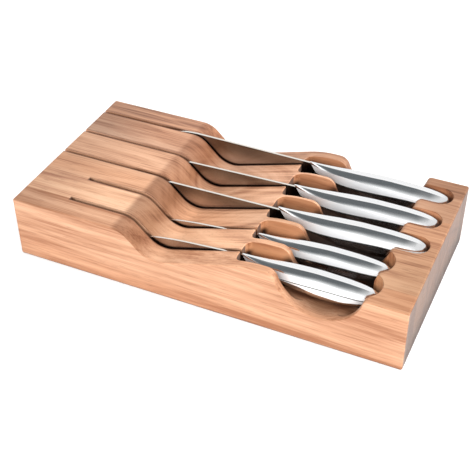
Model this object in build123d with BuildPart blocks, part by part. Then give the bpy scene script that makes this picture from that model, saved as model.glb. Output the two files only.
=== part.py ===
"""Drawer knife block of six glued wooden staves, with five knives lying in it."""
from build123d import *
from math import sqrt
import os

os.makedirs("parts", exist_ok=True)

# ---------------------------------------------------------------- driving dimensions, mm
# The part's frame: +X along the block towards the handles, +Y towards its far long side,
# +Z up, with the origin under the middle of the block.  Lengths marked "from the left" start
# at the block's left end, and widths marked "from the near side" at its near long face.
block_length = 380.0
block_width = 191.0
block_height = 64.5
left_end = -block_length / 2
right_end = block_length / 2
near_side = -block_width / 2

# The wave along the top: a flat shelf, a steep fall, a shallow rise and a flat again.
wave_corners = [(113.5, block_height), (141.6, 36.4), (234.3, block_height)]
wave_radii = [22.0, 24.0, 88.0]

# The round finger trough across the block, under the handles.
trough_x = 301.0
trough_z = 71.4
trough_radius = 40.8
trough_left_lip_radius = 10.5
trough_right_lip_radius = 4.5
trough_half_span = sqrt(trough_radius**2 - (trough_z - block_height) ** 2)

end_radius = 1.8
outer_edge_radius = 1.4

# Slots for the blades.  The saw kerf stands a little nearer than the blade.
slot_width = 3.6
slot_shift = -0.4

# Pockets for the handles.
pocket_floor = 34.0
pocket_floor_radius = 5.0
pocket_corner_radius = 6.5
pocket_left = 221.8
pocket_join = 301.0
pocket_rim_radius = 0.8

# Knives, from the far side to the near side.
# slot: middle of the slot from the near side.  slot_from: where the slot starts from the left.
# pocket: near and far wall of the pocket's left half.  nest: middle line, half width and end of
# its right half.  handle: "long" or "short".  rise: height of the handle's seam at its front.
# tilt: degrees by which the knife lies with its handle's end up, about the handle's front.
knives = {
    "chef_knife": dict(slot=167.5, slot_from=-5.0, slot_floor=14.0, pocket=(151.6, 181.2),
                       nest=(165.6, 12.8, 371.2), handle="long", rise=58.3, tilt=-1.5),
    "slicer": dict(slot=128.1, slot_from=-5.0, slot_floor=22.0, pocket=(111.8, 148.9),
                   nest=(127.0, 12.9, 371.2), handle="long", rise=57.0, tilt=0.0),
    "santoku": dict(slot=89.3, slot_from=-5.0, slot_floor=11.0, pocket=(74.5, 109.1),
                    nest=(88.4, 12.4, 371.2), handle="long", rise=57.6, tilt=0.4),
    "utility_knife": dict(slot=57.0, slot_from=48.6, slot_floor=22.0, pocket=(42.0, 69.8),
                          nest=(55.4, 17.7, 350.2), handle="short", rise=50.7, tilt=0.0),
    "paring_knife": dict(slot=23.4, slot_from=48.6, slot_floor=22.0, pocket=(8.7, 36.0),
                         nest=(22.0, 17.7, 350.2), handle="short", rise=52.3, tilt=-1.2),
}
knife_names = list(knives)

# Blades lie with the edge down.  top: height of the spine where it meets the handle.
# spine: points of the spine from where it starts to bend to the tip.  heel: where the edge
# starts, and belly: the middle point of the edge's curve from belly_from to the tip.
blade_outlines = {
    "chef_knife": dict(thick=2.2, top=64.3, spine=[(108.0, 62.1), (64.0, 52.4), (28.0, 32.0)],
                       heel=(226.0, 17.5), belly_from=(132.0, 15.5), belly=(74.0, 19.0)),
    "slicer": dict(thick=2.0, top=62.1, spine=[(96.0, 57.9), (56.0, 54.0), (28.0, 44.0)],
                   heel=(226.0, 28.0), belly_from=(108.0, 27.0), belly=(58.0, 31.5)),
    "santoku": dict(thick=2.0, top=61.9, spine=[(96.0, 60.4), (64.0, 51.2), (52.0, 25.2)],
                    heel=(226.0, 15.5), belly_from=(132.0, 15.2), belly=(88.0, 17.8)),
    "utility_knife": dict(thick=1.8, top=53.6, spine=[(170.0, 48.0), (135.6, 43.0), (108.0, 36.0)],
                          heel=(219.0, 27.0), belly_from=(170.0, 25.5), belly=(134.0, 26.6)),
    "paring_knife": dict(thick=1.8, top=56.4, spine=[(172.0, 51.1), (133.4, 44.8), (110.0, 38.5)],
                         heel=(219.0, 29.5), belly_from=(176.0, 26.0), belly=(138.0, 27.8)),
}
edge_thick = 0.5
grind_gap = 4.0         # the grind starts this far below the spine
neck_drop = 3.5         # the blade's neck reaches this far below the handle's seam
throat_height = 44.0    # above this the blade's back end leans towards the handle
throat_step = 2.0

# The tang that runs from the blade through the bolster into the hollow handle.
tang_height = 6.0
tang_thick = 1.8
tang_end = 62.0

# Handle shapes.  One row is a cross-section: distance behind the handle's front, and from the
# seam up to the crown, from the seam down to the belly, half the width, half the crown's width.
# The front face leans back by front_lean for each millimetre below the crown.
front_lean = 0.85
handle_shapes = {
    "long": dict(front=229.4, rows=[
        (0.0, 6.6, 7.4, 2.6, 0.8),
        (10.0, 6.7, 9.2, 4.6, 1.1),
        (24.0, 7.2, 11.6, 7.1, 1.9),
        (42.0, 8.4, 14.2, 9.1, 2.8),
        (62.0, 9.9, 16.4, 10.3, 3.5),
        (84.0, 11.0, 17.2, 10.7, 3.4),
        (104.0, 11.0, 16.0, 10.6, 3.2),
        (120.0, 10.2, 12.8, 9.9, 3.4),
        (130.0, 9.5, 9.6, 8.4, 3.6),
        (136.5, 7.9, 6.6, 5.8, 2.5),
        (139.6, 4.4, 3.6, 2.6, 1.1),
    ]),
    "short": dict(front=222.6, rows=[
        (0.0, 4.7, 6.4, 2.4, 0.8),
        (9.0, 4.9, 7.8, 4.2, 1.1),
        (21.0, 5.6, 10.0, 6.5, 1.8),
        (36.0, 7.2, 12.6, 8.5, 2.7),
        (54.0, 9.0, 15.0, 9.8, 3.3),
        (73.0, 10.1, 16.2, 10.2, 3.3),
        (92.0, 10.0, 15.0, 10.1, 3.1),
        (107.0, 9.2, 11.8, 9.3, 3.2),
        (116.5, 8.5, 9.0, 7.9, 3.3),
        (123.0, 7.0, 6.2, 5.4, 2.3),
        (126.1, 4.0, 3.4, 2.4, 1.0),
    ]),
}
# The shells' hollow and the weight, as shares of the handle's cross-sections, and the rows
# between which each runs.
hollow_share = 0.86
hollow_rows = (1, -1)
weight_share = 0.82
weight_rows = (5, 8)


# ---------------------------------------------------------------- the wooden block
def at(from_left, from_near, height=0.0):
    """A point of the part's frame from distances measured on the block."""
    return (left_end + from_left, near_side + from_near, height)


def pocket_tool(knife):
    """The space cut for one handle: wide in its left half, and a rounded nest at its right."""
    wall_near, wall_far = knife["pocket"]
    nest_middle, nest_half, nest_end = knife["nest"]
    depth = block_height - pocket_floor + 5.0
    with BuildPart() as tool:
        with BuildSketch(Plane.XY.offset(pocket_floor)):
            with BuildSketch(mode=Mode.ADD):
                wide_length = pocket_join - pocket_left
                middle_x = left_end + (pocket_left + pocket_join) / 2
                middle_y = near_side + (wall_near + wall_far) / 2
                with Locations((middle_x, middle_y)):
                    Rectangle(wide_length, wall_far - wall_near)
                corners = vertices().group_by(Axis.X)[0]
                fillet(corners, pocket_corner_radius)
            round_x = nest_end - nest_half
            with Locations((left_end + round_x, near_side + nest_middle)):
                Circle(nest_half)
            nest_length = round_x - pocket_join
            with Locations((left_end + pocket_join + nest_length / 2, near_side + nest_middle)):
                Rectangle(nest_length, 2 * nest_half)
        extrude(amount=depth)
        floor_edges = tool.faces().sort_by(Axis.Z)[0].edges()
        fillet(floor_edges, pocket_floor_radius)
    return tool.part


pocket_tools = {name: pocket_tool(knives[name]) for name in knife_names}


def pocket_rims(board):
    """The top edges of a board's pocket walls, which are its upright faces past the pockets' start."""
    rims = ShapeList()
    walls = board.faces().filter_by(lambda face: abs(face.normal_at(face.center()).Z) < 0.01)
    for wall in walls:
        span = wall.bounding_box()
        in_pocket = span.min.X > left_end + pocket_left - 0.5 and span.max.X < right_end - 2.0
        if in_pocket and span.min.Z > pocket_floor + 1.0:
            for edge in wall.edges():
                reach = edge.bounding_box()
                upright = reach.size.X < 0.01 and reach.size.Y < 0.01
                low = reach.max.Z < pocket_floor + pocket_floor_radius + 0.1
                if not upright and not low and not any(edge.is_same(rim) for rim in rims):
                    rims.append(edge)
    return rims


def stave(low, high):
    """One board of the block between two widths from the near side, with its share of each cut."""
    start = Plane(origin=(0, near_side + low, 0), x_dir=(1, 0, 0), z_dir=(0, -1, 0))
    corners = [(left_end, block_height)]
    corners += [(left_end + x, z) for x, z in wave_corners]
    corners += [(right_end, block_height), (right_end, 0), (left_end, 0)]
    radii = [end_radius] + wave_radii + 3 * [end_radius]
    with BuildPart() as wood:
        with BuildSketch(start) as outline:
            with BuildLine():
                FilletPolyline(*corners, radius=radii, close=True)
            make_face()
            with Locations((left_end + trough_x, trough_z)):
                Circle(trough_radius, mode=Mode.SUBTRACT)
            left_lip = (left_end + trough_x - trough_half_span, block_height)
            fillet(outline.vertices().sort_by_distance(left_lip)[0], trough_left_lip_radius)
            right_lip = (left_end + trough_x + trough_half_span, block_height)
            fillet(outline.vertices().sort_by_distance(right_lip)[0], trough_right_lip_radius)
        extrude(amount=low - high)
        if low == 0.0:
            fillet(wood.faces().sort_by(Axis.Y)[0].edges(), outer_edge_radius)
        if high == block_width:
            fillet(wood.faces().sort_by(Axis.Y)[-1].edges(), outer_edge_radius)
        for name in knife_names:
            knife = knives[name]
            kerf_middle = knife["slot"] + slot_shift
            kerf_near = max(low, kerf_middle - slot_width / 2)
            kerf_far = min(high, kerf_middle + slot_width / 2)
            if kerf_far > kerf_near:
                kerf_length = pocket_left + 10.0 - knife["slot_from"]
                kerf_depth = block_height + 5.0 - knife["slot_floor"]
                kerf_at = at(knife["slot_from"] + kerf_length / 2, (kerf_near + kerf_far) / 2,
                             knife["slot_floor"] + kerf_depth / 2)
                with Locations(kerf_at):
                    Box(kerf_length, kerf_far - kerf_near, kerf_depth, mode=Mode.SUBTRACT)
            pocket_near = min(knife["pocket"][0], knife["nest"][0] - knife["nest"][1])
            pocket_far = max(knife["pocket"][1], knife["nest"][0] + knife["nest"][1])
            if pocket_near < high and pocket_far > low:
                add(pocket_tools[name], mode=Mode.SUBTRACT)
        fillet(pocket_rims(wood), pocket_rim_radius)
    return wood


# Glue faces stand in the middle of the slots, so that each slot is milled as two halves.
slot_middles = sorted(knives[name]["slot"] + slot_shift for name in knife_names)
glue_faces = [0.0] + slot_middles + [block_width]
stave_names = ["stave_near", "stave_2", "stave_3", "stave_4", "stave_5", "stave_far"]
for index, stave_name in enumerate(stave_names):
    board = stave(glue_faces[index], glue_faces[index + 1])
    board.part.label = stave_name
    export_step(board.part, f"parts/{stave_name}.step")


# ---------------------------------------------------------------- the knives
def tang(name):
    """The bar that holds a blade in its handle."""
    knife = knives[name]
    start = left_end + blade_outlines[name]["heel"][0] + throat_step
    end = left_end + handle_shapes[knife["handle"]]["front"] + tang_end
    with BuildPart() as bar:
        with Locations(((start + end) / 2, near_side + knife["slot"], knife["rise"])):
            Box(end - start, tang_thick, tang_height)
    return bar.part


def lie(name):
    """The small turn that lays a knife in the block, about its handle's front."""
    knife = knives[name]
    pivot = Location((left_end + handle_shapes[knife["handle"]]["front"], 0, knife["rise"]))
    return pivot * Location((0, 0, 0), (0, -knife["tilt"], 0)) * pivot.inverse()


def handle_front(name, height):
    """A point of the handle's leaning front face, at a height, in the slot's plane."""
    shape = handle_shapes[knives[name]["handle"]]
    crown = knives[name]["rise"] + shape["rows"][0][1]
    return (left_end + shape["front"] + front_lean * (crown - height), height)


def blade(name):
    """A flat-ground blade with its tang, standing on its edge in its slot's plane."""
    shape = blade_outlines[name]
    slot_y = near_side + knives[name]["slot"]
    half_thick = shape["thick"] / 2
    half_edge = edge_thick / 2
    spine = [(left_end + x, z) for x, z in shape["spine"]]
    heel = (left_end + shape["heel"][0], shape["heel"][1])
    belly_from = (left_end + shape["belly_from"][0], shape["belly_from"][1])
    belly = (left_end + shape["belly"][0], shape["belly"][1])
    top = handle_front(name, shape["top"])
    neck = handle_front(name, knives[name]["rise"] - neck_drop)
    throat = (heel[0] + throat_step, throat_height)
    ground_from = shape["top"] - grind_gap
    ground_to = heel[1] - 1.0
    with BuildPart() as steel:
        with BuildSketch(Plane.XZ.offset(-slot_y)):
            with BuildLine():
                Line(top, spine[0])
                ThreePointArc(spine[0], spine[1], spine[2])
                ThreePointArc(spine[2], belly, belly_from)
                Line(belly_from, heel)
                Line(heel, throat)
                Line(throat, neck)
                Line(neck, top)
            make_face()
        extrude(amount=half_thick, both=True)
        with BuildSketch(Plane.YZ.offset(left_end)):
            with Locations((slot_y, 0)):
                Polygon((-half_thick, block_height), (-half_thick, ground_from), (-half_edge, ground_to),
                        (-half_edge, 0), (half_edge, 0), (half_edge, ground_to),
                        (half_thick, ground_from), (half_thick, block_height), align=None)
        extrude(amount=block_length, mode=Mode.INTERSECT)
        add(tang(name))
    return steel


def handle_body(name, share, first, last):
    """A handle's smooth body through its cross-sections, all of them reduced to a share."""
    knife = knives[name]
    shape = handle_shapes[knife["handle"]]
    with BuildPart() as body:
        for distance, up, down, half, crown in shape["rows"][first:last]:
            middle = at(shape["front"] + distance, knife["slot"], knife["rise"])
            rim = (crown * share, up * share)
            flank = (0.86 * half * share, 0.45 * up * share)
            side = (half * share, 0)
            cheek = (0.90 * half * share, -0.55 * down * share)
            sole = (0.45 * half * share, -down * share)
            with BuildSketch(Plane(origin=middle, x_dir=(0, 1, 0), z_dir=(1, 0, 0))):
                with BuildLine():
                    Line((-rim[0], rim[1]), rim)
                    ThreePointArc(rim, flank, side)
                    ThreePointArc(side, cheek, sole)
                    Line(sole, (-sole[0], sole[1]))
                    ThreePointArc((-sole[0], sole[1]), (-cheek[0], cheek[1]), (-side[0], 0))
                    ThreePointArc((-side[0], 0), (-flank[0], flank[1]), (-rim[0], rim[1]))
                make_face()
        loft()
        foot = handle_front(name, knife["rise"])
        front_face = Plane(origin=(foot[0], 0, foot[1]), x_dir=(0, 1, 0), z_dir=(1, 0, front_lean))
        split(bisect_by=front_face, keep=Keep.TOP)
    return body.part


def handle_half(name, keep):
    """One of the two hollow shells that are welded along the handle's seam."""
    knife = knives[name]
    shape = handle_shapes[knife["handle"]]
    bolster_end = left_end + shape["front"] + shape["rows"][hollow_rows[0]][0]
    with BuildPart() as shell:
        add(handle_body(name, 1.0, None, None))
        add(handle_body(name, hollow_share, *hollow_rows), mode=Mode.SUBTRACT)
        split(bisect_by=Plane.YZ.offset(bolster_end), keep=Keep.TOP)
        split(bisect_by=Plane.XY.offset(knife["rise"]), keep=keep)
    return shell


def bolster(name):
    """The solid front of the handle, with the tang's hole through it."""
    shape = handle_shapes[knives[name]["handle"]]
    bolster_end = left_end + shape["front"] + shape["rows"][hollow_rows[0]][0]
    with BuildPart() as collar:
        add(handle_body(name, 1.0, None, None))
        split(bisect_by=Plane.YZ.offset(bolster_end), keep=Keep.BOTTOM)
        add(tang(name), mode=Mode.SUBTRACT)
    return collar


def weight(name):
    """The balance weight in the fat of the handle."""
    with BuildPart() as slug:
        add(handle_body(name, weight_share, *weight_rows))
    return slug


for name in knife_names:
    pieces = {
        "blade": blade(name),
        "bolster": bolster(name),
        "upper_shell": handle_half(name, Keep.TOP),
        "lower_shell": handle_half(name, Keep.BOTTOM),
        "weight": weight(name),
    }
    for piece_name, piece in pieces.items():
        laid = piece.part.moved(lie(name))
        laid.label = f"{name}_{piece_name}"
        export_step(laid, f"parts/{name}_{piece_name}.step")
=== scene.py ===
"""The knife block's looks: oiled acacia staves, ground blades and polished hollow steel handles."""

import math

import bmesh
import bpy
from mathutils import Matrix, Vector


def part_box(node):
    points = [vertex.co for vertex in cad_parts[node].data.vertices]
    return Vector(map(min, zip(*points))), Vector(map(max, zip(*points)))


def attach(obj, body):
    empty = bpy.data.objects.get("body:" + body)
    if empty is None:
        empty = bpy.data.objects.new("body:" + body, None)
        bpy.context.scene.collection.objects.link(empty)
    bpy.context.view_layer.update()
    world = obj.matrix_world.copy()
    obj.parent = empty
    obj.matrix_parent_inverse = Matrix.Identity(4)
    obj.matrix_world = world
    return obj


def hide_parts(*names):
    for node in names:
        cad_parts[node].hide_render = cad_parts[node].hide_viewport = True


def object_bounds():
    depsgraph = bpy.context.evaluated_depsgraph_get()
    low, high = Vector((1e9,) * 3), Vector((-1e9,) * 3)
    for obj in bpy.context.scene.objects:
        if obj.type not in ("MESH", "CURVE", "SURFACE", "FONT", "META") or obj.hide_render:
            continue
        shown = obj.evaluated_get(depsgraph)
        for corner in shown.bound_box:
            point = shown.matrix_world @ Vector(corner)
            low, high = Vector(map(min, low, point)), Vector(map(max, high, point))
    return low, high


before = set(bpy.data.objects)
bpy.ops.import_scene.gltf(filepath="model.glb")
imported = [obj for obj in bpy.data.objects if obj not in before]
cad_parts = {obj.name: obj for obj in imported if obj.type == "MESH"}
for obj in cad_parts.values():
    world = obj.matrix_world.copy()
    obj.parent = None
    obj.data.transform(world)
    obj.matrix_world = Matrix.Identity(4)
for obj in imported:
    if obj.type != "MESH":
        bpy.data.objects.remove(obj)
cad_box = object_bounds()

MM = 0.001


# ---------------------------------------------------------------- camera, floor and light
FLOOR_GLOW = 0.12
SKY_STRENGTH = 0.80
# Patches of the sky: the direction of the middle, where the patch ends and where it is full in
# degrees from there, and its colour as a share of the plain sky.
SKY_PATCHES = [
    dict(direction=(-0.30, -0.50, 0.81), outer=38, inner=14, colour=(0.165, 0.18, 0.188)),
    dict(direction=(-0.33, 0.70, 0.63), outer=46, inner=20, colour=(1.25, 1.25, 1.25)),
    dict(direction=(-0.25, -0.95, 0.05), outer=40, inner=14, colour=(2.1, 2.1, 2.1)),
]


def make_camera():
    """A long lens looking down over the block's near right corner."""
    data = bpy.data.cameras.new("camera")
    data.lens = 76.2
    data.sensor_width = 36.0
    camera = bpy.data.objects.new("camera", data)
    bpy.context.scene.collection.objects.link(camera)
    place = Matrix.Translation((0.3078, -0.6774, 0.6144))
    turn = Matrix.Rotation(math.radians(24.97), 4, "Z")
    tilt = Matrix.Rotation(math.radians(90 - 38.91), 4, "X")
    roll = Matrix.Rotation(math.radians(-0.56), 4, "Z")
    camera.matrix_world = place @ turn @ tilt @ roll
    bpy.context.scene.camera = camera


def make_floor():
    """A plain white table top under the block."""
    half = 3.0
    corners = [(-half, -half, 0), (half, -half, 0), (half, half, 0), (-half, half, 0)]
    mesh = bpy.data.meshes.new("floor")
    mesh.from_pydata(corners, [], [(0, 1, 2, 3)])
    floor = bpy.data.objects.new("floor", mesh)
    bpy.context.scene.collection.objects.link(floor)
    material = bpy.data.materials.new("floor")
    material.use_nodes = True
    shader = material.node_tree.nodes["Principled BSDF"]
    shader.inputs["Base Color"].default_value = (0.97, 0.97, 0.97, 1)
    shader.inputs["Roughness"].default_value = 0.9
    shader.inputs["Specular IOR Level"].default_value = 0.1
    shader.inputs["Emission Color"].default_value = (1, 1, 1, 1)
    shader.inputs["Emission Strength"].default_value = FLOOR_GLOW
    mesh.materials.append(material)


def area_light(name, place, target, size, power):
    """A soft rectangular lamp at a place, turned towards a target."""
    data = bpy.data.lights.new(name, "AREA")
    data.shape = "RECTANGLE"
    data.size, data.size_y = size
    data.energy = power
    light = bpy.data.objects.new(name, data)
    bpy.context.scene.collection.objects.link(light)
    light.location = place
    aim = Vector(target) - Vector(place)
    light.rotation_euler = aim.to_track_quat("-Z", "Y").to_euler()
    return light


def sky_patch(tree, colour_in, direction, outer, inner, colour):
    """Multiplies the sky's colour by another around a direction, with a soft edge."""
    position = tree.nodes.new("ShaderNodeTexCoord")
    dot = tree.nodes.new("ShaderNodeVectorMath")
    dot.operation = "DOT_PRODUCT"
    tree.links.new(position.outputs["Generated"], dot.inputs[0])
    dot.inputs[1].default_value = Vector(direction).normalized()
    fade = tree.nodes.new("ShaderNodeMapRange")
    fade.interpolation_type = "SMOOTHSTEP"
    fade.inputs["From Min"].default_value = math.cos(math.radians(outer))
    fade.inputs["From Max"].default_value = math.cos(math.radians(inner))
    tree.links.new(dot.outputs["Value"], fade.inputs["Value"])
    mix = tree.nodes.new("ShaderNodeMix")
    mix.data_type = "RGBA"
    mix.blend_type = "MULTIPLY"
    mix.clamp_result = False
    tree.links.new(fade.outputs["Result"], mix.inputs["Factor"])
    tree.links.new(colour_in, mix.inputs[6])
    mix.inputs[7].default_value = (*colour, 1)
    return mix.outputs[2]


def make_world():
    """A pale studio: a grey flag overhead towards the front, and bright walls behind and in front."""
    world = bpy.data.worlds.new("studio")
    world.use_nodes = True
    tree = world.node_tree
    plain = tree.nodes.new("ShaderNodeRGB")
    plain.outputs["Color"].default_value = (1, 1, 1, 1)
    colour = plain.outputs["Color"]
    for patch in SKY_PATCHES:
        colour = sky_patch(tree, colour, **patch)
    tree.links.new(colour, tree.nodes["Background"].inputs["Color"])
    tree.nodes["Background"].inputs["Strength"].default_value = SKY_STRENGTH
    bpy.context.scene.world = world


make_camera()
make_floor()
make_world()
area_light("key", (1.10, 0.30, 1.60), (0, 0, 0.02), (1.2, 1.2), 15)
area_light("fill", (0.35, -1.15, 0.95), (0, 0, 0.03), (0.9, 0.9), 17).visible_glossy = False
area_light("side", (1.45, -0.20, 0.50), (0, 0, 0.05), (0.8, 0.8), 6).visible_glossy = False
bpy.context.scene.view_settings.view_transform = "Standard"


# ---------------------------------------------------------------- node helpers
class Nodes:
    """Short calls for building one material's node tree."""

    def __init__(self, name):
        self.material = bpy.data.materials.new(name)
        self.material.use_nodes = True
        self.tree = self.material.node_tree
        self.shader = self.tree.nodes["Principled BSDF"]

    def plug(self, value, socket):
        """Links an output to a socket, or sets the socket to a constant."""
        if isinstance(value, bpy.types.NodeSocket):
            self.tree.links.new(value, socket)
        else:
            socket.default_value = value

    def coords(self, output="Object"):
        return self.tree.nodes.new("ShaderNodeTexCoord").outputs[output]

    def parts(self, vector):
        """The X, Y and Z of a vector."""
        node = self.tree.nodes.new("ShaderNodeSeparateXYZ")
        self.plug(vector, node.inputs[0])
        return node.outputs

    def openness(self, reach, samples):
        """1 in the open, and less where walls stand close within a reach in metres."""
        node = self.tree.nodes.new("ShaderNodeAmbientOcclusion")
        node.samples = samples
        node.inputs["Distance"].default_value = reach
        return node.outputs["AO"]

    def vector(self, operation, a, b):
        node = self.tree.nodes.new("ShaderNodeVectorMath")
        node.operation = operation
        self.plug(a, node.inputs[0])
        self.plug(b, node.inputs[1])
        return node.outputs["Vector"]

    def math(self, operation, a, b):
        node = self.tree.nodes.new("ShaderNodeMath")
        node.operation = operation
        self.plug(a, node.inputs[0])
        self.plug(b, node.inputs[1])
        return node.outputs["Value"]

    def noise(self, vector, scale=1.0, detail=2.0, roughness=0.5, out="Fac"):
        node = self.tree.nodes.new("ShaderNodeTexNoise")
        self.plug(vector, node.inputs["Vector"])
        node.inputs["Scale"].default_value = scale
        node.inputs["Detail"].default_value = detail
        node.inputs["Roughness"].default_value = roughness
        return node.outputs[out]

    def fade(self, value, low, high, to_low=0.0, to_high=1.0):
        """Goes softly from to_low at low to to_high at high."""
        node = self.tree.nodes.new("ShaderNodeMapRange")
        node.interpolation_type = "SMOOTHSTEP"
        self.plug(value, node.inputs["Value"])
        node.inputs["From Min"].default_value = low
        node.inputs["From Max"].default_value = high
        node.inputs["To Min"].default_value = to_low
        node.inputs["To Max"].default_value = to_high
        return node.outputs["Result"]

    def share(self, value, low, high):
        """How far a value is from low to high, in a straight line."""
        node = self.tree.nodes.new("ShaderNodeMapRange")
        self.plug(value, node.inputs["Value"])
        node.inputs["From Min"].default_value = low
        node.inputs["From Max"].default_value = high
        return node.outputs["Result"]

    def between(self, value, rise, fall):
        """1 between a soft rise and a soft fall, and 0 outside them."""
        return self.math("MULTIPLY", self.fade(value, *rise), self.fade(value, *fall, 1.0, 0.0))

    def mix(self, factor, a, b, blend="MIX"):
        node = self.tree.nodes.new("ShaderNodeMix")
        node.data_type = "RGBA"
        node.blend_type = blend
        self.plug(factor, node.inputs["Factor"])
        self.plug(a, node.inputs[6])
        self.plug(b, node.inputs[7])
        return node.outputs[2]

    def ramp(self, value, stops):
        node = self.tree.nodes.new("ShaderNodeValToRGB")
        points = node.color_ramp.elements
        while len(points) < len(stops):
            points.new(0.5)
        for point, (position, colour) in zip(points, stops):
            point.position = position
            point.color = colour
        self.plug(value, node.inputs["Fac"])
        return node.outputs["Color"]

    def bump(self, height, strength, distance):
        node = self.tree.nodes.new("ShaderNodeBump")
        node.inputs["Strength"].default_value = strength
        node.inputs["Distance"].default_value = distance
        self.plug(height, node.inputs["Height"])
        self.tree.links.new(node.outputs["Normal"], self.shader.inputs["Normal"])


def scaled(tint, tone):
    """A tint made darker or lighter, as a ramp wants it."""
    return tuple(part * tone for part in tint) + (1.0,)


def rgb(red, green, blue):
    """A colour given as eight-bit sRGB, as the shader wants it."""
    def linear(value):
        value = value / 255
        return value / 12.92 if value <= 0.04045 else ((value + 0.055) / 1.055) ** 2.4
    return (linear(red), linear(green), linear(blue), 1.0)


# ---------------------------------------------------------------- wood
SHORT_SLOT = 0.0486                 # where the two nearest slots begin, in metres from the left end
# Each board: its light, middle and dark tone; the centre of its growth rings (across, up) in metres;
# how much the rings climb along the board; a shift that gives it its own figure; how many layers of
# fibre a metre holds across and up; its six tones on top, partly its own tone and partly painted light
# and shade (see TONE_AND_SHADE_PLACES; 1 leaves it as it is); how much painted shade darkens its
# hollows (0 is not at all); and where the slots on its near and far side begin, in metres from the
# left end (None on an outer side).
BOARDS = {
    "stave_near": dict(light=(209, 162, 130), middle=(191, 142, 110), dark=(159, 107, 76),
                       centre=(-0.20, -0.09), climb=0.05, shift=1.3, layers=(140.0, 80.0),
                       tones=(0.74, 1.0, 0.58, 1.08, 1.12, 0.74), hollow=0.45, cuts=(None, SHORT_SLOT)),
    "stave_2": dict(light=(240, 192, 156), middle=(222, 170, 134), dark=(170, 116, 88),
                    centre=(-0.11, -0.10), climb=-0.06, shift=7.7, layers=(150.0, 12.0),
                    tones=(0.66, 0.86, 0.42, 0.88, 1.0, 0.50), hollow=0.97, cuts=(SHORT_SLOT, SHORT_SLOT)),
    "stave_3": dict(light=(234, 184, 149), middle=(214, 162, 127), dark=(156, 105, 78),
                    centre=(0.06, -0.08), climb=0.08, shift=4.1, layers=(150.0, 12.0),
                    tones=(0.65, 0.84, 0.40, 1.0, 0.84, 0.55), hollow=0.97, cuts=(SHORT_SLOT, 0.0)),
    "stave_4": dict(light=(234, 184, 150), middle=(216, 164, 130), dark=(166, 114, 86),
                    centre=(0.08, -0.11), climb=-0.05, shift=9.9, layers=(150.0, 12.0),
                    tones=(0.68, 0.87, 0.56, 0.95, 0.97, 0.65), hollow=0.97, cuts=(0.0, 0.0)),
    "stave_5": dict(light=(238, 189, 157), middle=(216, 163, 131), dark=(158, 108, 82),
                    centre=(-0.02, -0.09), climb=0.07, shift=2.6, layers=(150.0, 12.0),
                    tones=(0.46, 0.73, 0.48, 0.95, 0.95, 0.50), hollow=0.97, cuts=(0.0, 0.0)),
    "stave_far": dict(light=(216, 167, 135), middle=(194, 144, 114), dark=(140, 97, 75),
                      centre=(0.16, -0.10), climb=-0.07, shift=5.8, layers=(150.0, 60.0),
                      tones=(0.72, 1.0, 0.74, 1.0, 0.85, 0.52), hollow=0.97, cuts=(0.0, None)),
}

PLAIN = (1.0, 1.0, 1.0)
# How the top's tone goes along a board: the share of the board's length, which of its six tones
# holds there, and a tint. The six are the left end, the plateau, the slope, the slope's foot, the
# valley and the right end. They are partly the wood's own tone and partly painted light and shade:
# the slope is painted darker and warmer, as grazing light leaves it, and each place lighter or darker
# as it is lit.
TONE_AND_SHADE_PLACES = [
    (0.05, 0, PLAIN), (0.20, 1, PLAIN), (0.271, 1, PLAIN), (0.283, 2, (1.0, 0.90, 0.84)),
    (0.335, 2, (0.90, 0.72, 0.58)), (0.385, 3, PLAIN), (0.55, 4, PLAIN), (0.97, 5, (1.0, 0.93, 0.84)),
]
LEFT_END_X = cad_box[0][0]

# The figure's sizes: how many of each a metre holds, and along, across and up where there are three.
SWAYS = (6.0, 18.0, 18.0)
SWAY_DEPTH = (0.0, 0.016, 0.016)    # how far a sway bends the rings, in metres along, across and up
RINGS = 170.0
RING_CHANGES = 2.0
STREAKS_ALONG = 5.0
FIBRES_ALONG = 18.0
FIBRES_PER_LAYER = 5.5
BROAD_PATCHES = (3.0, 18.0, 18.0)
PORES = (70.0, 1500.0, 1500.0)
# How much of the figure's tone comes from the rings, the streaks and the fibres, and at which tones
# its dark, middle and light colours stand.
RING_SHARE, STREAK_SHARE, FIBRE_SHARE = 0.36, 0.34, 0.30
DARK_AT, MIDDLE_AT, LIGHT_AT = 0.39, 0.49, 0.58

BROAD_TINT = rgb(240, 200, 160)
PORE_BROWN = rgb(120, 74, 50)
END_GRAIN = rgb(98, 92, 89)
# Painted shade for the slots' lips and insides.
SLOT_SHADE = rgb(76, 42, 26)
# Painted shade deep in the pockets and at their left ends.
POCKET_SHADE_COLOUR = rgb(34, 20, 14)
# Painted shade for the steep walls inside the block.
WALL_SHADE = (0.70, 0.555, 0.44, 1.0)
SLOT_REACH = 0.005
SHELTER_REACH = 0.060
WOOD_SAMPLES = 12

# Each pair below is the start and the end of a soft change. First, how far a face's normal points
# up, or along the board for the end grain.
TOP_FACES = (0.10, 0.35)
WALL_FACES = (0.35, 0.70)
END_FACES = (0.93, 0.985)
# Then places in metres: the slots' lips from a slot's middle and at their right end, and the pockets'
# left ends, sides and heights.
LIP = (0.0019, 0.0033)
LIP_RIGHT_END = (0.026, 0.031)
SLOT_START = 0.001                  # the length over which a slot's lips begin at the left
INSIDE_Y = (0.0895, 0.0915)
INSIDE_X = (0.028, 0.034)
POCKET_X = (0.0300, 0.0318)
POCKET_Z = (0.040, 0.053)
TROUGH_LEFT = (0.060, 0.074)
TROUGH_RIGHT = (0.138, 0.152)
TROUGH_RISE = 0.010                 # how much higher the pockets' dark begins in the trough
POCKET_END_X = (0.0312, 0.0322)
PAST_END_X = (0.034, 0.040)
POCKET_END_Z = (0.050, 0.056)
# Last, how open the wood is where its painted shade is full and where there is none: in the pockets,
# at their left ends and in the slots.
POCKET_OPEN = (0.40, 0.86)
POCKET_END_OPEN = (0.60, 0.92)
SLOT_OPEN = (0.40, 0.82)


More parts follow.
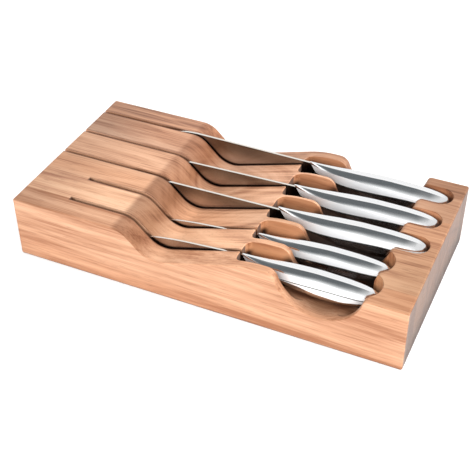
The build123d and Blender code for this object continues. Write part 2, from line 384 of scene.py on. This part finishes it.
def figure(n, light, middle, dark, centre, climb, shift, layers):
    """Growth rings about a centre line, streaks, fibres and pores: the colour, fibres and pores."""
    place = n.vector("ADD", n.coords(), (shift, 0.0, 0.0))
    sway = n.noise(n.vector("MULTIPLY", place, SWAYS), detail=2.0, out="Color")
    sway = n.vector("SUBTRACT", sway, (0.5, 0.5, 0.5))
    bent = n.parts(n.vector("ADD", n.coords(), n.vector("MULTIPLY", sway, SWAY_DEPTH)))
    across = n.math("SUBTRACT", bent["Y"], centre[0])
    up = n.math("SUBTRACT", bent["Z"], centre[1])
    up = n.math("ADD", up, n.math("MULTIPLY", bent["X"], climb))
    square = n.math("ADD", n.math("MULTIPLY", across, across), n.math("MULTIPLY", up, up))
    radius = n.math("SQRT", square, 0.0)
    ring_at = n.tree.nodes.new("ShaderNodeCombineXYZ")
    n.plug(n.math("MULTIPLY", radius, RINGS), ring_at.inputs["X"])
    n.plug(n.math("MULTIPLY", bent["X"], RING_CHANGES), ring_at.inputs["Y"])
    n.plug(shift, ring_at.inputs["Z"])
    rings = n.noise(ring_at.outputs[0], detail=3.0, roughness=0.55)

    across_fibre, up_fibre = layers
    streak_at = n.vector("MULTIPLY", place, (STREAKS_ALONG, across_fibre, up_fibre))
    streaks = n.noise(streak_at, detail=3.0, roughness=0.6)
    fine = (FIBRES_ALONG, FIBRES_PER_LAYER * across_fibre, FIBRES_PER_LAYER * up_fibre)
    fibres = n.noise(n.vector("MULTIPLY", place, fine), detail=2.0, roughness=0.6)
    tone = n.math("ADD", n.math("MULTIPLY", rings, RING_SHARE), n.math("MULTIPLY", streaks, STREAK_SHARE))
    tone = n.math("ADD", tone, n.math("MULTIPLY", fibres, FIBRE_SHARE))
    colour = n.ramp(tone, [(DARK_AT, rgb(*dark)), (MIDDLE_AT, rgb(*middle)), (LIGHT_AT, rgb(*light))])

    broad = n.noise(n.vector("MULTIPLY", place, BROAD_PATCHES), detail=1.0)
    colour = n.mix(n.fade(broad, 0.48, 0.70, 0.0, 0.25), colour, BROAD_TINT, "MULTIPLY")
    pores = n.fade(n.noise(n.vector("MULTIPLY", place, PORES), detail=1.0), 0.64, 0.74, 0.0, 0.45)
    return n.mix(pores, colour, PORE_BROWN), fibres, pores


def slot_lip_shade(n, name, point, cuts):
    """Painted shade: how much of a board's top is painted darker along the lips of the slots at its two
    sides.
    """
    lips = 0.0
    low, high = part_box(name)
    for side, start, away in zip((low.y, high.y), cuts, (1.0, -1.0)):
        if start is not None:
            beside = n.math("MULTIPLY", n.math("SUBTRACT", point["Y"], side), away)
            slot_x = LEFT_END_X + start
            begun = n.fade(point["X"], slot_x - SLOT_START, slot_x)
            lips = n.math("MAXIMUM", lips, n.math("MULTIPLY", n.fade(beside, *LIP, 0.70, 0.0), begun))
    return n.math("MULTIPLY", lips, n.fade(point["X"], *LIP_RIGHT_END, 1.0, 0.0))


def pocket_shade(n, point, inside, hollow):
    """Painted shade: how dark the wood is painted deep in the pockets and at their left ends."""
    shelter = n.openness(SHELTER_REACH, WOOD_SAMPLES)
    in_trough = n.between(point["X"], TROUGH_LEFT, TROUGH_RIGHT)
    height = n.math("SUBTRACT", point["Z"], n.math("MULTIPLY", in_trough, TROUGH_RISE))
    low = n.math("MULTIPLY", n.fade(height, *POCKET_Z, 1.0, 0.0), n.fade(point["X"], *POCKET_X))
    low = n.math("MULTIPLY", low, inside)
    pocket = n.math("MULTIPLY", low, n.fade(shelter, *POCKET_OPEN, hollow, 0.0))
    at_end = n.between(point["X"], POCKET_END_X, PAST_END_X)
    at_end = n.math("MULTIPLY", at_end, n.fade(shelter, *POCKET_END_OPEN, hollow, 0.0))
    at_end = n.math("MULTIPLY", at_end, n.fade(point["Z"], *POCKET_END_Z, 1.0, 0.0))
    at_end = n.math("MULTIPLY", at_end, inside)
    return n.math("MAXIMUM", pocket, at_end)


def wood(name, tones, hollow, cuts, **grain):
    """Oiled acacia: its figure, its tones along the top with painted light and shade, and painted shade
    on the inner walls, in the slots and deep in the pockets.
    """
    n = Nodes(name)
    colour, fibres, pores = figure(n, **grain)
    normal = n.parts(n.coords("Normal"))
    point = n.parts(n.coords())

    along = n.share(point["X"], LEFT_END_X, -LEFT_END_X)
    # Partly the wood's own tone and partly painted light and shade: the top is multiplied by its tones
    # along the board.
    stops = [(share, scaled(tint, tones[index])) for share, index, tint in TONE_AND_SHADE_PLACES]
    topside = n.fade(normal["Z"], *TOP_FACES)
    colour = n.mix(topside, colour, n.ramp(along, stops), "MULTIPLY")
    # Painted shade along the slots' lips on the top.
    lips = slot_lip_shade(n, name, point, cuts)
    colour = n.mix(n.math("MULTIPLY", lips, topside), colour, SLOT_SHADE)

    within = n.fade(n.math("ABSOLUTE", point["Y"], 0.0), *INSIDE_Y, 1.0, 0.0)
    inside = n.math("MULTIPLY", within, n.fade(point["X"], *INSIDE_X))
    # Painted shade: the steep walls inside the block are made darker and warmer than the tops.
    wall_shade = n.math("MULTIPLY", inside, n.fade(normal["Z"], *WALL_FACES, 1.0, 0.0))
    colour = n.mix(wall_shade, colour, WALL_SHADE, "MULTIPLY")
    end_grain = n.fade(n.math("ABSOLUTE", normal["X"], 0.0), *END_FACES, 0.0, 0.75)
    colour = n.mix(end_grain, colour, END_GRAIN)
    # Painted shade deep in the pockets and at their left ends.
    colour = n.mix(pocket_shade(n, point, inside, hollow), colour, POCKET_SHADE_COLOUR)
    # Painted shade inside the slots, where their walls stand close.
    slot_shade = n.fade(n.openness(SLOT_REACH, WOOD_SAMPLES), *SLOT_OPEN, 0.92, 0.0)
    colour = n.mix(slot_shade, colour, SLOT_SHADE)

    n.plug(colour, n.shader.inputs["Base Color"])
    n.plug(n.fade(fibres, 0.3, 0.7, 0.46, 0.60), n.shader.inputs["Roughness"])
    n.shader.inputs["Specular IOR Level"].default_value = 0.32
    n.bump(n.math("SUBTRACT", fibres, pores), 0.25, 0.0003)
    return n.material


# ---------------------------------------------------------------- steel
# Painted reflection: a blade's face is lighter towards the bottom and darker towards the spine.
BLADE_LOW_REFLECTION = (0.52, 0.48, 0.46, 1)
BLADE_HIGH_REFLECTION = (0.25, 0.235, 0.22, 1)
BLADE_Z = (0.044, 0.058)            # the heights between which a blade's face goes from low to high
# Painted shade: the colour of the heel where it stands sheltered in the pocket.
BLADE_POCKET_SHADE = (0.05, 0.045, 0.04, 1)
BLADE_POCKET_X = (0.0305, 0.0335)
BLADE_POCKET_OPEN = (0.7, 0.98)
BLADE_SAMPLES = 16
# Painted reflection: the darker patches of a soft mottle over a blade's face.
MOTTLED_REFLECTION = (0.20, 0.18, 0.17, 1)
# Painted highlight for the faces that point up, the spine.
SPINE_HIGHLIGHT = (0.84, 0.80, 0.74, 1)
SPINE_FACES = (0.5, 0.9)            # how far a face's normal points up


def blade_steel():
    """Satin steel, ground across the blade in fine lines, with painted reflections on its face, a
    painted highlight on the spine and painted shade on the heel.
    """
    n = Nodes("blade_steel")
    grind = n.noise(n.vector("MULTIPLY", n.coords(), (2600.0, 900.0, 30.0)), detail=2.0, roughness=0.6)
    mottle = n.noise(n.vector("MULTIPLY", n.coords(), (24.0, 24.0, 60.0)), detail=3.0)
    point = n.parts(n.coords())
    # Painted reflection, lighter low on the face and darker high up.
    face = n.mix(n.fade(point["Z"], *BLADE_Z), BLADE_LOW_REFLECTION, BLADE_HIGH_REFLECTION)
    # Painted shade: the heel goes dark where it stands sheltered in the pocket.
    sheltered = n.fade(n.openness(SHELTER_REACH, BLADE_SAMPLES), *BLADE_POCKET_OPEN, 1.0, 0.0)
    heel_shade = n.math("MULTIPLY", n.fade(point["X"], *BLADE_POCKET_X), sheltered)
    face = n.mix(heel_shade, face, BLADE_POCKET_SHADE)
    # Painted reflection: a soft mottle of darker patches over the face.
    colour = n.mix(n.fade(mottle, 0.35, 0.75, 0.0, 0.25), face, MOTTLED_REFLECTION)
    normal = n.parts(n.coords("Normal"))
    # Painted highlight: faces that point up, the spine, are made pale.
    colour = n.mix(n.fade(normal["Z"], *SPINE_FACES), colour, SPINE_HIGHLIGHT)
    n.plug(colour, n.shader.inputs["Base Color"])
    n.shader.inputs["Metallic"].default_value = 1.0
    n.plug(n.fade(grind, 0.3, 0.7, 0.14, 0.26), n.shader.inputs["Roughness"])
    n.bump(grind, 0.10, 0.00005)
    return n.material


def handle_steel():
    """Polished stainless steel with faint wiping marks."""
    n = Nodes("handle_steel")
    marks = n.noise(n.vector("MULTIPLY", n.coords(), (60.0, 700.0, 700.0)), detail=2.0)
    haze = n.noise(n.vector("MULTIPLY", n.coords(), (40.0, 60.0, 60.0)), detail=2.0)
    n.plug(n.mix(haze, (0.88, 0.89, 0.90, 1), (0.94, 0.94, 0.94, 1)), n.shader.inputs["Base Color"])
    n.shader.inputs["Metallic"].default_value = 1.0
    n.plug(n.fade(marks, 0.3, 0.7, 0.10, 0.17), n.shader.inputs["Roughness"])
    n.bump(marks, 0.04, 0.00005)
    return n.material


def flank_steel():
    """The flanks' pale satin, rubbed lengthways: part bright metal, part a light grey finish."""
    n = Nodes("flank_steel")
    rub = n.noise(n.vector("MULTIPLY", n.coords(), (30.0, 1400.0, 1400.0)), detail=3.0)
    n.plug(n.mix(rub, (0.86, 0.87, 0.88, 1), (0.95, 0.95, 0.95, 1)), n.shader.inputs["Base Color"])
    n.shader.inputs["Metallic"].default_value = 0.45
    n.plug(n.fade(rub, 0.3, 0.7, 0.34, 0.46), n.shader.inputs["Roughness"])
    n.bump(rub, 0.06, 0.00005)
    return n.material


def seam_steel():
    """The dark line of the handle's seam."""
    n = Nodes("seam_steel")
    grime = n.noise(n.vector("MULTIPLY", n.coords(), (200.0, 900.0, 900.0)), detail=2.0)
    n.plug(n.mix(grime, (0.020, 0.020, 0.022, 1), (0.05, 0.05, 0.05, 1)), n.shader.inputs["Base Color"])
    n.shader.inputs["Roughness"].default_value = 0.8
    n.shader.inputs["Specular IOR Level"].default_value = 0.1
    return n.material


def weight_steel():
    """Plain turned steel, hidden in the handle."""
    n = Nodes("weight_steel")
    grain = n.noise(n.vector("MULTIPLY", n.coords(), (300.0, 300.0, 300.0)), detail=3.0)
    n.plug(n.mix(grain, (0.36, 0.36, 0.37, 1), (0.50, 0.50, 0.51, 1)), n.shader.inputs["Base Color"])
    n.shader.inputs["Metallic"].default_value = 1.0
    n.plug(n.fade(grain, 0.3, 0.7, 0.35, 0.55), n.shader.inputs["Roughness"])
    return n.material


def dress(node_name, material):
    """Puts one material on a CAD node."""
    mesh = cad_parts[node_name].data
    mesh.materials.clear()
    mesh.materials.append(material)


for board_name, board in BOARDS.items():
    dress(board_name, wood(board_name, **board))
BLADE_STEEL = blade_steel()
HANDLE_STEEL = handle_steel()
FLANK_STEEL = flank_steel()
SEAM_STEEL = seam_steel()
WEIGHT_STEEL = weight_steel()

# ---------------------------------------------------------------- handles
# A row is one cross-section, in millimetres. First its distance behind the front. Then, from the
# handle's middle line: up to the crown, down to the belly, half the width, half the crown's width
# and up to the brow (the edge under the long upper facet). Then how far the cheek (the lower edge of
# the upright facet) lies below the seam, how far the facet under the brow leans in for each
# millimetre up, and how far the seam lies below the middle line.
# The front's face leans back by FRONT_LEAN for each millimetre down, and that dies out by LEAN_ENDS.
FRONT_LEAN = 0.85
LEAN_ENDS = 40.0
HANDLES = {
    "long": dict(front=229.4, rows=[
        (0.0, 6.6, 4.0, 2.6, 0.8, 4.2, 0.3, 0.42, 2.4),
        (10.0, 6.7, 5.2, 4.6, 1.1, 3.9, 0.3, 0.40, 3.2),
        (24.0, 7.2, 7.4, 7.1, 1.9, 3.8, 0.3, 0.40, 4.0),
        (42.0, 8.4, 11.6, 9.1, 2.8, 4.2, 0.5, 0.42, 4.4),
        (62.0, 9.9, 16.4, 10.3, 3.5, 4.4, 2.4, 0.42, 3.2),
        (84.0, 11.0, 17.2, 10.7, 3.4, 3.9, 6.0, 0.42, 1.2),
        (104.0, 11.0, 16.0, 10.6, 3.2, 3.0, 6.8, 0.42, 0.0),
        (120.0, 10.2, 12.8, 9.9, 3.0, 2.4, 4.6, 0.42, 0.0),
        (130.0, 8.9, 9.6, 8.4, 2.5, 2.4, 2.5, 0.42, 0.0),
        (136.5, 6.8, 6.6, 5.8, 1.5, 2.2, 1.4, 0.42, 0.0),
        (139.6, 3.6, 3.6, 2.4, 0.5, 1.5, 0.8, 0.42, 0.0),
    ]),
    "short": dict(front=222.6, rows=[
        (0.0, 4.7, 3.6, 2.4, 0.8, 3.0, 0.3, 0.42, 2.0),
        (9.0, 4.9, 4.8, 4.2, 1.1, 2.8, 0.3, 0.40, 2.8),
        (21.0, 5.6, 6.8, 6.5, 1.8, 2.9, 0.3, 0.40, 3.4),
        (36.0, 7.2, 10.6, 8.5, 2.7, 3.5, 0.4, 0.42, 3.2),
        (54.0, 9.0, 15.0, 9.8, 3.3, 4.0, 2.2, 0.42, 1.8),
        (73.0, 10.1, 16.2, 10.2, 3.3, 4.0, 5.6, 0.42, 0.6),
        (92.0, 10.0, 15.0, 10.1, 3.1, 3.4, 6.6, 0.42, 0.0),
        (107.0, 9.2, 11.8, 9.3, 2.8, 2.7, 4.5, 0.42, 0.0),
        (116.5, 8.0, 9.0, 7.9, 2.3, 2.5, 2.4, 0.42, 0.0),
        (123.0, 6.0, 6.2, 5.4, 1.4, 2.2, 1.3, 0.42, 0.0),
        (126.1, 3.2, 3.4, 2.2, 0.5, 1.4, 0.7, 0.42, 0.0),
    ]),
}
# Each knife: the middle of its slot from the near side and its middle line's height at the front, in
# millimetres, the degrees by which its handle's end lies up, its handle, and whether the satin of
# its flank runs on below the seam.
KNIVES = {
    "chef_knife": dict(slot=167.5, rise=58.3, tilt=-1.5, handle="long", satin_below=False),
    "slicer": dict(slot=128.1, rise=57.0, tilt=0.0, handle="long", satin_below=False),
    "santoku": dict(slot=89.3, rise=57.6, tilt=0.4, handle="long", satin_below=False),
    "utility_knife": dict(slot=57.0, rise=50.7, tilt=0.0, handle="short", satin_below=False),
    "paring_knife": dict(slot=23.4, rise=52.3, tilt=-1.2, handle="short", satin_below=True),
}
LEFT_END = LEFT_END_X / MM
NEAR_SIDE = cad_box[0][1] / MM


def smooth_row(rows, distance):
    """The cross-section at any distance, by a monotone cubic through the rows."""
    places = [row[0] for row in rows]
    spans = [b - a for a, b in zip(places, places[1:])]
    index = 0
    while index < len(spans) - 1 and distance > places[index + 1]:
        index += 1
    result = []
    for column in range(1, len(rows[0])):
        values = [row[column] for row in rows]
        slopes = [(b - a) / span for a, b, span in zip(values, values[1:], spans)]
        tangents = [slopes[0]]
        for before, after in zip(slopes, slopes[1:]):
            tangents.append(0.0 if before * after <= 0 else 2 * before * after / (before + after))
        tangents.append(slopes[-1])
        span = spans[index]
        t = (distance - places[index]) / span
        start, end = values[index], values[index + 1]
        pull_start, pull_end = tangents[index] * span, tangents[index + 1] * span
        result.append((2 * t**3 - 3 * t**2 + 1) * start + (t**3 - 2 * t**2 + t) * pull_start
                      + (3 * t**2 - 2 * t**3) * end + (t**3 - t**2) * pull_end)
    return result


def bowed(start, end, bow, count):
    """Points from start towards end, the last left out, pushed sideways by a bow at the middle."""
    points = []
    run = (end[0] - start[0], end[1] - start[1])
    size = math.hypot(*run)
    out = (-run[1] / size, run[0] / size) if size > 1e-9 else (0.0, 0.0)
    for step in range(count):
        t = step / count
        push = -bow * 4 * t * (1 - t)
        points.append((start[0] + run[0] * t + out[0] * push, start[1] + run[1] * t + out[1] * push))
    return points


GROOVE_WIDTH = 0.48
GROOVE_DEPTH = 0.30
CHEEK_SPREAD = 0.06
STATIONS = 110
STATION_CROWDING = 1.6      # above 1, the stations stand closer towards the handle's end
POLISHED, SATIN, SEAM = 0, 1, 2


def handle_section(row):
    """Half a cross-section, from the crown's middle to the belly's, and where its corners are."""
    up, down, half, crown, brow, cheek, lean, drop = row
    groove = min(GROOVE_WIDTH, cheek * 0.6)
    corners = [
        ((0.0, up + 0.05 * crown), 3, -0.02 * crown),
        ((crown, up), 9, -0.05 * (half - crown)),
        ((max(half - lean * brow, crown + 0.02), brow), 4, -0.03 * brow),
        ((half, groove - drop), 1, 0.0),
        ((half - min(GROOVE_DEPTH, 0.1 * half), -drop), 1, 0.0),
        ((half, -groove - drop), 4, 0.0),
        ((half + CHEEK_SPREAD * cheek, -cheek - drop), 8, -0.10 * (down - cheek - drop)),
        ((0.42 * half, -down), 3, 0.0),
    ]
    points = []
    sharp = []
    for (start, count, bow), (end, _, _) in zip(corners, corners[1:] + [((0.0, -down - 0.1), 0, 0)]):
        sharp.append(len(points))
        points += bowed(start, end, bow, count)
    points.append((0.0, -down - 0.1))
    return points, sharp[1:]


def make_handle(name):
    """A faceted hollow-handle's outer skin with its welded seam, closed at both ends."""
    knife = KNIVES[name]
    shape = HANDLES[knife["handle"]]
    rows = shape["rows"]
    length = rows[-1][0]
    form = bmesh.new()
    rings = []
    turn = math.radians(knife["tilt"])
    for step in range(STATIONS + 1):
        distance = length * (1 - (1 - step / STATIONS) ** STATION_CROWDING)
        half_section, sharp = handle_section(smooth_row(rows, distance))
        section = half_section + [(-y, z) for y, z in reversed(half_section[1:-1])]
        crown_height = rows[0][1]
        lean = FRONT_LEAN * max(0.0, 1 - distance / LEAN_ENDS) ** 2
        ring = []
        for y, z in section:
            back = distance + lean * (crown_height - z)
            x = LEFT_END + shape["front"] + back * math.cos(turn) - z * math.sin(turn)
            across = NEAR_SIDE + knife["slot"] + y
            height = knife["rise"] + back * math.sin(turn) + z * math.cos(turn)
            ring.append(form.verts.new((x * MM, across * MM, height * MM)))
        rings.append(ring)
    count = len(rings[0])
    brow_column, seam_column, under_seam = sharp[1], sharp[2], sharp[4]
    satin_end = sharp[5] if knife["satin_below"] else seam_column
    for ring, after in zip(rings, rings[1:]):
        for index in range(count):
            following = (index + 1) % count
            face = form.faces.new((ring[index], after[index], after[following], ring[following]))
            column = min(index, count - 1 - index)
            if seam_column <= column < under_seam:
                face.material_index = SEAM
            elif brow_column <= column < satin_end:
                face.material_index = SATIN
            else:
                face.material_index = POLISHED
    for ring in (rings[0], rings[-1]):
        middle = sum((vertex.co for vertex in ring), Vector()) / count
        point = form.verts.new(middle)
        for index in range(count):
            form.faces.new((ring[index], ring[(index + 1) % count], point))
    bmesh.ops.recalc_face_normals(form, faces=form.faces)
    for face in form.faces:
        face.smooth = True
    sharp_columns = set(sharp) | {count - index for index in sharp}
    column_of = {vertex: index for ring in rings for index, vertex in enumerate(ring)}
    front = set(rings[0])
    for edge in form.edges:
        columns = [column_of.get(vertex) for vertex in edge.verts]
        runs_along = columns[0] == columns[1] and columns[0] in sharp_columns
        if runs_along or all(vertex in front for vertex in edge.verts):
            edge.smooth = False
    mesh = bpy.data.meshes.new(f"{name}_handle")
    form.to_mesh(mesh)
    form.free()
    handle = bpy.data.objects.new(f"{name}_handle", mesh)
    bpy.context.scene.collection.objects.link(handle)
    for material in (HANDLE_STEEL, FLANK_STEEL, SEAM_STEEL):
        mesh.materials.append(material)
    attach(handle, name)
    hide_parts(f"{name}_bolster", f"{name}_upper_shell", f"{name}_lower_shell")


for knife_name in KNIVES:
    make_handle(knife_name)
    dress(f"{knife_name}_blade", BLADE_STEEL)
    dress(f"{knife_name}_weight", WEIGHT_STEEL)
